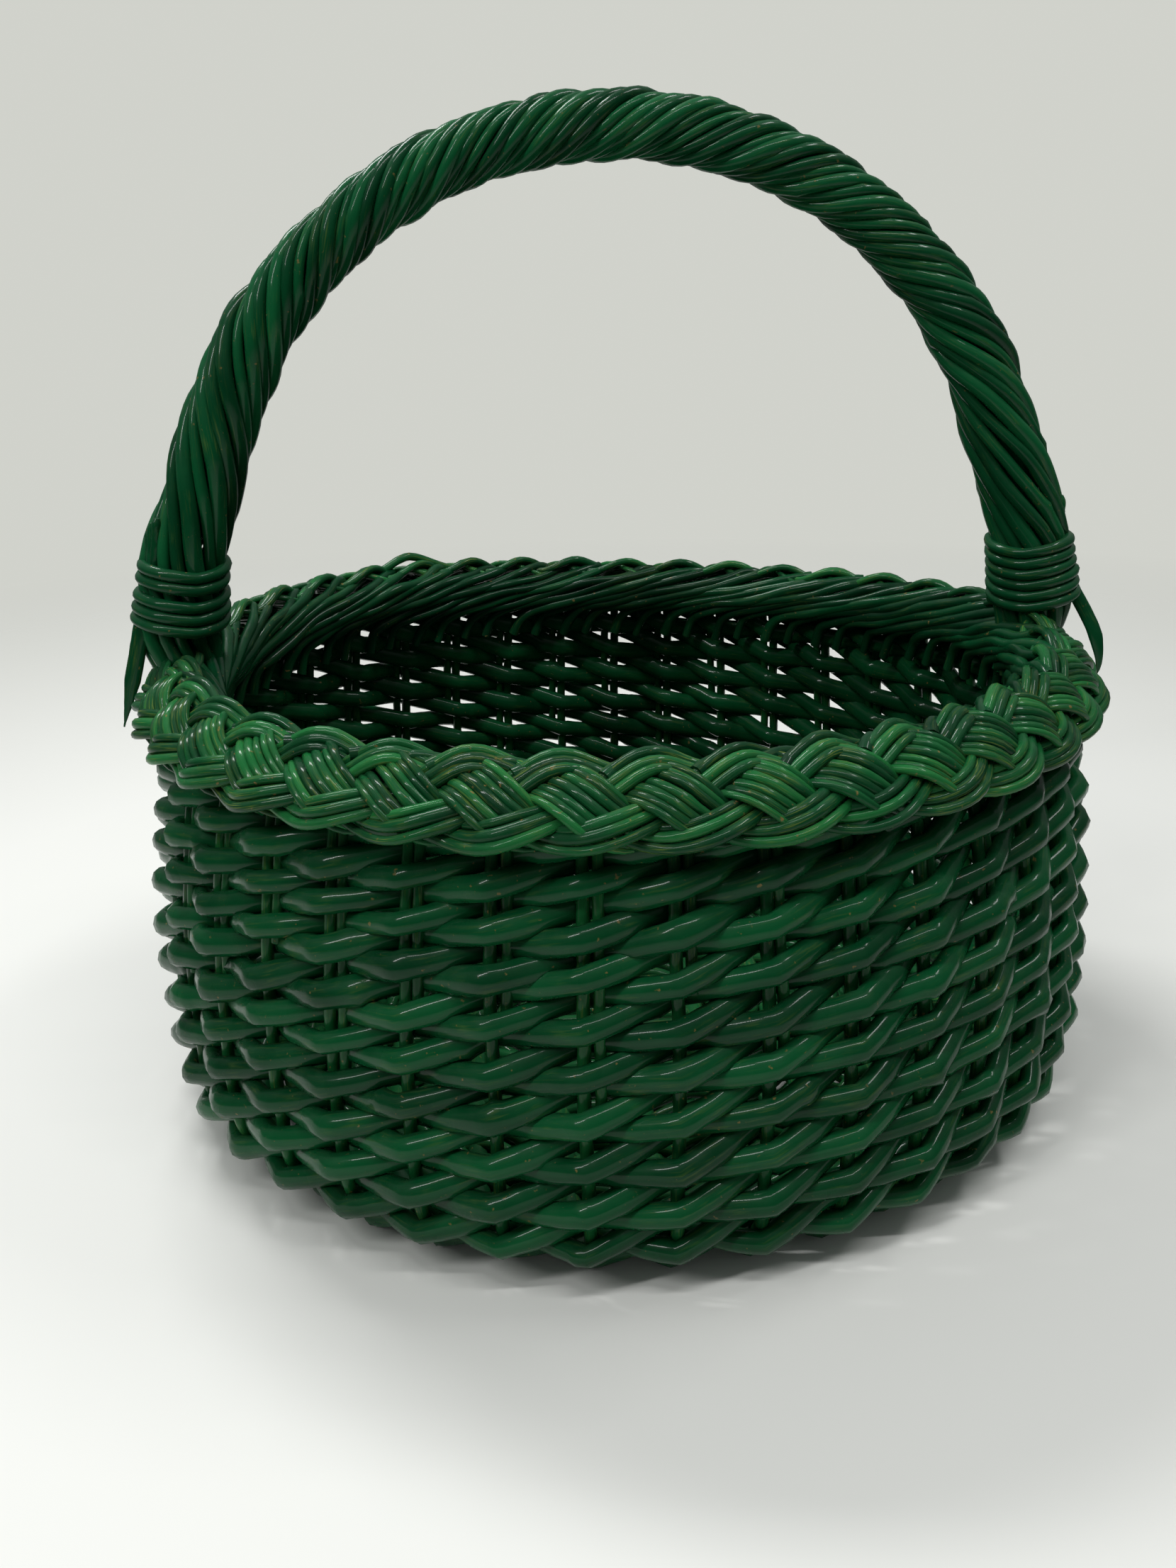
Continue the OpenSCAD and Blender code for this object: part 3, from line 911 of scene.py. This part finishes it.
laid = []
for i in range(STAKES):
    for beside, radius in LAID_PAIR:
        laid.append(laid_stake(rng, stake_t(i) + beside, radius * rng.uniform(0.9, 1.1)))
# The laid stakes take the darker inside green, which is painted shade.
skin_rods("laid_stakes", laid, shaded_inside_paint, ["plait_border"], sides=9)

# %% [markdown]
# ## Short rods in the plait
#
# The stakes that dive under the plait come out on its slope, two on each side of every band
# on its way down, and end under the next band. They turn the braid from an open plait into
# a full one. Their ends are drawn in towards the band and pushed down, so that none shows.
# One rod of the inner edge has sprung out of its place since, and we keep it.

# %% Fill the downward passes of the plait
FILL_BESIDE = (-9.4, -6.8, 6.8, 9.4)
FILL_POINTS, DRAWN_IN, PUSHED_DOWN = 18, 0.4, 2.6
JOIN_PHASE, LEAVE_PHASE = math.radians(212), math.radians(324)


def slope_rod(rng, number, beside, radius):
    """A short rod beside a strand on its way down the slope, tucked under at both ends."""
    span = np.linspace(JOIN_PHASE, LEAVE_PHASE, FILL_POINTS) / (2 * math.pi) * period
    towards_end = np.abs(np.linspace(-1, 1, FILL_POINTS)) ** 4
    t, w, h = band_point(span, beside * (1 - DRAWN_IN * towards_end))
    h = h - PUSHED_DOWN * towards_end + rng.uniform(-0.4, 0.6)
    points = smooth_through(on_border(t + number * cell, w, h))
    distance = arc_lengths(points)
    girth = radius * (1 + wobble(rng, distance, 60, 0.1))
    girth[-3:] *= (0.9, 0.75, 0.5)
    return rod(points, girth, rng.uniform(0.25, 1.0), knot=knots_along(rng, points, 70, 0.8))


STRAY_T = 385.0
STRAY_STEPS = ((-34, -9.0, -1.0), (-20, -11.0, 1.5), (-4, -12.0, 7.0), (5, -12.5, 6.6),
               (16, -11.0, 2.5), (30, -6.0, -1.5))


def stray_loop(rng):
    """One rod of the inner edge that has sprung up out of its place."""
    points = smooth_through([on_border(np.array([STRAY_T + dt]), w, h)[0]
                             for dt, w, h in STRAY_STEPS])
    return rod(points, 2.0, 0.6, knot=knots_along(rng, points, 70, 0.6))


fills = [stray_loop(rng)]
for i in range(STAKES):
    for beside in FILL_BESIDE:
        fills.append(slope_rod(rng, i, beside, rng.uniform(1.25, 1.55)))
skin_rods("slope_rods", fills, border_paint, ["plait_border"])

# %% [markdown]
# ## The roped handle
#
# The handle is a stout bow that stands in the side at both ends, hidden by a dozen rods
# twisted round it. Each rod is a helix that follows the bow. The rods travel faster round
# it over the top of the arch than down the legs, where they open out to be bound to the
# rim. We walk along the bow in small steps, add up the twist, and let the rods stray a
# little from their even spacing, because no two willow rods are equally thick.

# %% The line of the bow
ARCH_RADIUS, ARCH_Z = 164.5, 217.5
LEG_SPLAY, FOOT_SPLAY = math.radians(22), math.radians(11)
FOOT_Z, FOOT_LENGTH = 201.0, 32.0
ROOT_OUT, ROOT_Z = 5.0, 168.0

leg_top = np.array([ARCH_RADIUS * math.cos(LEG_SPLAY), ARCH_Z + ARCH_RADIUS * math.sin(LEG_SPLAY)])
knee_z = FOOT_Z + FOOT_LENGTH * math.cos(FOOT_SPLAY)
knee = leg_top + (leg_top[1] - knee_z) * np.array([math.tan(LEG_SPLAY), -1])
foot = knee + FOOT_LENGTH * np.array([math.sin(FOOT_SPLAY), -math.cos(FOOT_SPLAY)])
root_end = np.array([HALF_LENGTH + rim_s + ROOT_OUT, ROOT_Z])


def bow_line():
    """The bow's middle line in the XZ plane, from the left root to the right one."""
    arch = [(math.cos(a) * ARCH_RADIUS, ARCH_Z + math.sin(a) * ARCH_RADIUS)
            for a in np.linspace(LEG_SPLAY, math.pi / 2, 9)]
    half = [root_end, foot * 0.5 + root_end * 0.5, foot, (foot + knee) / 2, knee, *arch]
    right_half = np.array([(x, 0.0, z) for x, z in half])
    left_half = right_half[:-1] * (-1, 1, 1)
    return smooth_through(np.concatenate([left_half, right_half[::-1]]))


bow = bow_line()
bow_distance = arc_lengths(bow)
print("the bow is", round(bow_distance[-1]), "mm long")

# %% How far the rods have turned
ROPE_RODS = 12
TOP_RING, FOOT_RING = 9.4, 12.6
TOP_TWIST, FOOT_TWIST = 0.080, 0.024
LEG_LOW, LEG_BLEND = 40.0, 190.0
ROOT_SHARE, ROOT_LENGTH = 0.62, 26.0


def bow_frames():
    """Outward and frontward directions along the bow."""
    tangent = np.gradient(bow, axis=0)
    tangent /= np.linalg.norm(tangent, axis=1)[:, None]
    front = np.broadcast_to([0.0, -1.0, 0.0], tangent.shape)
    return -np.cross(tangent, front), front


bow_out, bow_front = bow_frames()
to_foot = np.minimum(bow_distance, bow_distance[-1] - bow_distance)
top_share = np.clip((to_foot - LEG_LOW) / LEG_BLEND, 0, 1)
top_share = top_share * top_share * (3 - 2 * top_share)
twist_rate = FOOT_TWIST + (TOP_TWIST - FOOT_TWIST) * top_share
twist = -np.concatenate([[0], np.cumsum(twist_rate[1:] * np.diff(bow_distance))])
ring = FOOT_RING + (TOP_RING - FOOT_RING) * top_share
ring = ring * (ROOT_SHARE + (1 - ROOT_SHARE) * np.clip((to_foot - 6) / ROOT_LENGTH, 0, 1))
print("from end to end the rods turn", round(-twist[-1] / (2 * math.pi), 2), "times")


# %% Twist the rods round the bow
def rope_rod(rng, number):
    """One rod of the handle."""
    angle = 2 * math.pi * number / ROPE_RODS + twist + wobble(rng, bow_distance, 150, 0.07)
    far = ring * (1 + rng.uniform(-0.05, 0.05) + wobble(rng, bow_distance, 90, 0.04))
    points = (bow + (far * np.cos(angle))[:, None] * bow_out
              + (far * np.sin(angle))[:, None] * bow_front)
    radius = rng.uniform(1.7, 2.75) * (1 + 0.32 * (1 - top_share))
    radius = radius * (1 + wobble(rng, bow_distance, 130, 0.08))
    tone = np.clip(rng.uniform(0.1, 0.9) + wobble(rng, bow_distance, 120, 0.12), 0, 1)
    return rod(points, radius, tone, knot=knots_along(rng, points, 95, 0.9))


rng = np.random.default_rng(31)
ropes = [rope_rod(rng, i) for i in range(ROPE_RODS)]
skin_rods("handle_ropes", ropes, handle_paint, ["handle_roping"], sides=12)

# %% [markdown]
# ## The bindings
#
# Each foot is held to the rim by one long rod wound round it, turn on turn. We count turns
# as the angle grows. A true spring would climb evenly, but a wound rod lies level for most
# of a turn and then steps up beside itself, so the climb is squeezed into the last quarter,
# on the inner side of the foot. The left binding has slackened, which left a gap in it.

# %% Directions at a foot
def foot_frame(side, up_leg):
    """A point up the foot's middle line, with its outward and frontward directions."""
    along_leg = np.array([-math.sin(FOOT_SPLAY), 0.0, math.cos(FOOT_SPLAY)])
    middle = np.array([foot[0], 0.0, foot[1]]) + np.multiply.outer(up_leg, along_leg)
    out = np.array([math.cos(FOOT_SPLAY), 0.0, math.sin(FOOT_SPLAY)])
    return middle * (side, 1, 1), out * (side, 1, 1), np.array([0.0, -1.0, 0.0])


print("the right foot starts at", foot_frame(1, 0.0)[0].round(1))

# %% Bind the feet
TURN_POINTS = 40
STEP_UP_FROM = 0.75
FOOT_GIRTH, GIRTH_LOSS = 14.8, 0.06
BINDING_START = math.radians(-150)


def binding(rng, side, turns, rod_radius, start, gap=0, gap_after=0):
    """A rod wound round a foot, with its turns side by side and one gap."""
    angle = np.linspace(0, 2 * math.pi * turns, int(turns * TURN_POINTS))
    turn = angle / (2 * math.pi)
    climbed = np.floor(turn) + np.clip((turn % 1 - STEP_UP_FROM) / (1 - STEP_UP_FROM), 0, 1)
    up_leg = start + climbed * 2 * rod_radius + gap * np.clip((turn - gap_after) * 6, 0, 1)
    middle, out, front = foot_frame(side, up_leg)
    far = FOOT_GIRTH + rod_radius - GIRTH_LOSS * up_leg + wobble(rng, angle * 15, 60, 0.2)
    points = (middle + (far * np.cos(angle + BINDING_START))[:, None] * out
              + (far * np.sin(angle + BINDING_START))[:, None] * front)
    girth = rod_radius * (1 + wobble(rng, angle * 15, 70, 0.05))
    return rod(points, girth, rng.uniform(0.3, 0.6), knot=knots_along(rng, points, 80, 0.6))


rng = np.random.default_rng(43)
left_binding = binding(rng, -1, turns=5, rod_radius=2.4, start=5.0, gap=2.2, gap_after=3)
skin_rods("left_foot_binding", [left_binding], handle_paint, ["binding_left"], sides=12)
right_binding = binding(rng, 1, turns=6, rod_radius=2.25, start=1.0)
skin_rods("right_foot_binding", [right_binding], handle_paint, ["binding_right"], sides=12)

# %% [markdown]
# ## Tails and cut ends
#
# Where a weaver runs out of rod, the end stays visible. A flat pointed tail hangs outside
# the border under each binding, and above them stand the ends of handle rods that were cut
# off. Both are placed round the foot by three numbers, which reads well in a list: how far
# up the leg, how far turned from the outside to the front, and how far out from the middle.

# %% Hang the tails
def foot_point(side, up_leg, angle, far):
    """A point round a foot: up it, turned from the outward direction to the front, and out."""
    middle, out, front = foot_frame(side, up_leg)
    turned = math.radians(angle)
    return middle + far * (math.cos(turned) * out + math.sin(turned) * front)


LEFT_TAIL = ((10, 28, 14.0), (2, 28, 15.4), (-12, 27, 16.8), (-26, 26, 18.4), (-40, 25, 20.0))
RIGHT_TAIL = ((8, 20, 14.0), (0, 22, 16.5), (-10, 24, 20.5), (-20, 26, 23.5), (-32, 28, 24.0),
              (-40, 30, 20.5))
TAIL_THINNESS = 0.35


def tail(side, steps, wide):
    """A flat tail that hangs outside the border from under a binding."""
    points = smooth_through([foot_point(side, *step) for step in steps], 2.0)
    share = arc_lengths(points) / arc_lengths(points)[-1]
    radius = wide * np.clip((1.02 - share) * 2.4, 0.1, 1)
    return rod(points, radius, 0.35, press=np.array([0.0, 1.0, 0.0]) * (1 - TAIL_THINNESS))


for side, name, steps, wide in ((-1, "left", LEFT_TAIL, 3.3), (1, "right", RIGHT_TAIL, 3.0)):
    skin_rods(name + "_foot_tail", [tail(side, steps, wide)], handle_paint,
              ["tail_" + name], sides=12)


# %% Leave the cut ends
LEFT_ENDS = ((-6, 36), (6, 38.5), (18, 41), (30, 44), (42, 46.5))
RIGHT_ENDS = ((-4, 38), (8, 41), (20, 37))


def cut_end(rng, side, angle, top):
    """The end of a handle rod that was cut off just above the binding."""
    far = 13.6 + rng.uniform(0, 0.8)
    points = smooth_through([foot_point(side, 18, angle, 12.5), foot_point(side, 30, angle + 2, 13.0),
                             foot_point(side, top, angle + 4, far)], 1.0)
    radius = np.full(len(points), rng.uniform(1.5, 2.1))
    radius[-3:] *= (1.0, 0.8, 0.5)
    return rod(points, radius, rng.uniform(0.2, 0.6), knot=knots_along(rng, points, 20, 0.6))


cut_ends = [cut_end(rng, -1, angle, top) for angle, top in LEFT_ENDS]
cut_ends += [cut_end(rng, 1, angle, top) for angle, top in RIGHT_ENDS]
skin_rods("cut_rod_ends", cut_ends, handle_paint, sides=10, bark=0.5)

# %% [markdown]
# ## The base
#
# Seven short sticks lie across the base and three long ones pierce them in the middle. Rods
# go round and round them, over one stick and under the next, and change over on the next
# round. Near the edge the stakes have been pushed in between the sticks, so the outer rounds
# are woven over and under the stakes themselves. There are 37 of those, an odd number, and
# so a single rod that simply keeps going changes over by itself.

# %% Sticks of the base
LONG_SPACING, CROSS_SPACING = 8.0, 34.0
LONG_RADIUS, CROSS_RADIUS, SHORT_OF_EDGE = 2.5, 4.4, 4
BASE_EDGE = turn_s


def straight(start, end, radius, tone):
    """A straight stick with rounded ends."""
    points = np.linspace(start, end, max(4, int(np.linalg.norm(np.subtract(end, start)) / STEP)))
    girth = np.full(len(points), radius)
    girth[[0, -1]] *= 0.7
    return rod(points, girth, tone)


def stick_reach(x):
    """How far from the middle a short stick at x meets the edge of the base."""
    return math.sqrt((side_radius + BASE_EDGE)**2 - x * x) - side_centre - SHORT_OF_EDGE


rng = np.random.default_rng(53)
long_reach = HALF_LENGTH + BASE_EDGE - SHORT_OF_EDGE
long_sticks = [straight((-long_reach, y, BASE_MIDDLE), (long_reach, y, BASE_MIDDLE), LONG_RADIUS,
                        rng.uniform(0.3, 0.8)) for y in (-LONG_SPACING, 0, LONG_SPACING)]
skin_rods("long_sticks", long_sticks, base_paint,
          [f"long_base_stick_{i}" for i in range(1, 4)], sides=12)
cross_places = [CROSS_SPACING * i for i in range(-3, 4)]
cross_sticks = [straight((x, -stick_reach(x), BASE_MIDDLE), (x, stick_reach(x), BASE_MIDDLE),
                         CROSS_RADIUS, rng.uniform(0.3, 0.8)) for x in cross_places]
skin_rods("cross_sticks", cross_sticks, base_paint,
          [f"cross_base_stick_{i}" for i in range(1, 8)], sides=14)

# %% [markdown]
# ## The base's own rods
#
# The outer rounds are one endless rod. It spirals outwards while its height follows a cosine
# with one half-wave for each stake. The rounds inside them follow the sticks instead: a ring
# counts its crossings as it goes, seven along one side and seven back, and the next ring
# starts half a wave later. The innermost rings have no room for round ends, so they are
# drawn as flattened ovals.

# %% Weave the base
BASE_ROD = 2.55
OUTER_ROUNDS = 11
OUTER_SWING, INNER_SWING = 4.4, 5.5
OUTER_PITCH, INNER_PITCH = 2 * BASE_ROD * 0.93, 2 * BASE_ROD * 0.95
INSIDE_EDGE, TIGHTEST_END = 3, 4


def outer_spiral(rng):
    """One endless rod that spirals outwards over and under the stakes."""
    distance = np.arange(0, OUTER_ROUNDS * perimeter, 4.0)
    rounds = distance / perimeter
    inset = BASE_EDGE - INSIDE_EDGE - (OUTER_ROUNDS - rounds) * OUTER_PITCH
    height = BASE_MIDDLE + OUTER_SWING * np.cos(math.pi * (distance - stake_t(0)) / cell)
    return rod(lift(distance, inset, height), BASE_ROD, 0.5 + wobble(rng, distance, 900, 0.4))


def inner_ring(rng, number, start):
    """One round inside the stakes' tails, over and under the sticks of the base."""
    inset = start - number * INNER_PITCH
    angle = np.linspace(0, 2 * math.pi, 240, endpoint=False)
    half_width, half_length = HALF_WIDTH + inset, HALF_LENGTH + inset
    points = lift(angle / (2 * math.pi) * perimeter, inset, 0.0)
    if END_RADIUS + inset < TIGHTEST_END:
        bend = np.sign(np.cos(angle)) * np.abs(np.cos(angle)) ** 0.6
        points = np.stack([half_length * bend, half_width * np.sin(angle), 0 * angle], -1)
    crossings = np.interp(points[:, 0], cross_places, range(7)) + 0.5 * np.sign(points[:, 1])
    phase = np.where(points[:, 1] > 0, crossings, 13.0 - crossings)
    points[:, 2] = BASE_MIDDLE + INNER_SWING * np.cos(math.pi * (phase + number))
    return rod(points, BASE_ROD, rng.uniform(0.2, 0.8), closed=True)


inner_start = BASE_EDGE - INSIDE_EDGE - (OUTER_ROUNDS + 1) * OUTER_PITCH
inner_count = int((HALF_WIDTH + inner_start - 12) / INNER_PITCH)
rings = [inner_ring(rng, i, inner_start) for i in range(inner_count)]
skin_rods("base_weavers", [outer_spiral(rng)] + rings, base_paint, ["base_weave"], sides=8)

# %% [markdown]
# ## The solid that is kept
#
# The bow itself is the one plain solid that needs no new shape. It is a single thick rod,
# seen only in slits between the twisted ones, so it keeps its mesh and takes the paint of
# the handle.

# %% Paint the bow
kept = [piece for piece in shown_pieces() if "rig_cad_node" in piece]
for piece in kept:
    piece.data.materials.clear()
    piece.data.materials.append(handle_paint)
print("kept from the plain model:", [piece.name for piece in kept])

# %% [markdown]
# ## The floor
#
# A plain pale floor carries the basket's shadow. It is a disc whose material turns clear
# towards the rim, so it melts into the background and no horizon line shows.

# %% Lay the floor
FLOOR_RADIUS, FLOOR_FADE = 1.3, 0.45
FLOOR_SIDES = 96
FLOOR_COLOUR, FLOOR_ROUGHNESS = (0.76, 0.765, 0.735, 1), 0.65


def fading_floor_material():
    """A pale floor that turns clear towards its edge."""
    material = bpy.data.materials.new("pale_floor")
    material.use_nodes = True
    tree = material.node_tree
    shader = tree.nodes["Principled BSDF"]
    shader.inputs["Base Color"].default_value = FLOOR_COLOUR
    shader.inputs["Roughness"].default_value = FLOOR_ROUGHNESS
    place = add_node(tree, "ShaderNodeTexCoord").outputs["Object"]
    seen = remap(tree, vector_math(tree, "LENGTH", place), FLOOR_RADIUS, FLOOR_FADE)
    tree.links.new(seen, shader.inputs["Alpha"])
    return material


turns = [2 * math.pi * i / FLOOR_SIDES for i in range(FLOOR_SIDES)]
floor_mesh = bpy.data.meshes.new("floor")
floor_mesh.from_pydata([(FLOOR_RADIUS * math.cos(a), FLOOR_RADIUS * math.sin(a), 0) for a in turns],
                       [], [tuple(range(FLOOR_SIDES))])
floor_mesh.materials.append(fading_floor_material())
floor = bpy.data.objects.new("floor", floor_mesh)
bpy.context.scene.collection.objects.link(floor)
floor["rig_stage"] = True
print("the floor is", 2 * FLOOR_RADIUS, "m across")

# %% [markdown]
# ## The lamps and the sky
#
# Glossy rods tell where the light comes from: each one carries a thin bright line for every
# lamp. Four long narrow lamps near the ceiling draw those lines without washing out the
# green. A weak sky, brightest above and behind, fills the shadows. The camera sees an even
# grey in place of that sky, which a Light Path node arranges.

# %% Hang the lamps
LAMP_AIM = (0.0, 0.0, 0.15)
LAMPS = (("ceiling_back", (-0.5, 0.6, 1.5), (0.7, 0.22), 14),
         ("ceiling_right", (0.8, 0.0, 1.5), (0.15, 0.6), 5),
         ("ceiling_left", (-0.9, -0.8, 1.3), (0.8, 0.09), 8),
         ("ceiling_front", (0.1, -0.65, 1.7), (1.3, 0.085), 9))


def area_light(name, place, size, power):
    """A lamp of a width and a height that faces the basket."""
    data = bpy.data.lights.new(name, "AREA")
    data.shape = "RECTANGLE"
    data.energy = power
    data.size, data.size_y = size
    lamp = bpy.data.objects.new(name, data)
    way = np.array(place, float) - np.array(LAMP_AIM, float)
    way /= np.linalg.norm(way)
    side = np.cross([0.0, 1.0, 0.001], way)
    side /= np.linalg.norm(side)
    rows = np.stack([side, np.cross(way, side), way], 1)
    lamp.matrix_world = Matrix([[*r, p] for r, p in zip(rows, place)] + [[0, 0, 0, 1]])
    bpy.context.scene.collection.objects.link(lamp)


for lamp_values in LAMPS:
    area_light(*lamp_values)
print(len(LAMPS), "lamps give", sum(power for *_, power in LAMPS), "W")

# %% Light the sky
SKY_ABOVE, SKY_BEHIND, SKY_LEAST = 0.26, 0.14, 0.035
SKY_COLOUR, BACKGROUND = (0.93, 0.97, 0.96, 1), (0.635, 0.645, 0.60, 1)


def studio_world():
    """Soft light that comes mostly from above and behind, in front of an even background."""
    world = bpy.data.worlds.new("studio")
    world.use_nodes = True
    tree = world.node_tree
    way = add_node(tree, "ShaderNodeTexCoord").outputs["Generated"]
    parts = add_node(tree, "ShaderNodeSeparateXYZ", {"Vector": way}).outputs
    above = number_math(tree, "MULTIPLY", remap(tree, parts["Z"], 0.0, 0.8), SKY_ABOVE)
    behind = number_math(tree, "MULTIPLY", remap(tree, parts["Y"], -0.2, 1.0), SKY_BEHIND)
    strength = number_math(tree, "ADD", number_math(tree, "ADD", above, behind), SKY_LEAST)
    lighting = tree.nodes["Background"]
    lighting.inputs["Color"].default_value = SKY_COLOUR
    tree.links.new(strength, lighting.inputs["Strength"])
    seen = add_node(tree, "ShaderNodeBackground", {"Color": BACKGROUND, "Strength": 1.0})
    camera_ray = add_node(tree, "ShaderNodeLightPath").outputs["Is Camera Ray"]
    both = add_node(tree, "ShaderNodeMixShader", {0: camera_ray, 1: lighting.outputs[0],
                                                  2: seen.outputs[0]})
    tree.links.new(both.outputs[0], tree.nodes["World Output"].inputs["Surface"])
    return world


bpy.context.scene.world = studio_world()
bpy.context.scene.view_settings.view_transform = "Standard"
print("the sky's strength is", SKY_LEAST, "to", round(SKY_ABOVE + SKY_BEHIND + SKY_LEAST, 3))

# %% [markdown]
# ## Measure and finish
#
# The last cell measures the finished basket's box and prints it.

# %% Write the sizes
low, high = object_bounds()
print("visual box:", [round(c, 4) for c in low], [round(c, 4) for c in high])
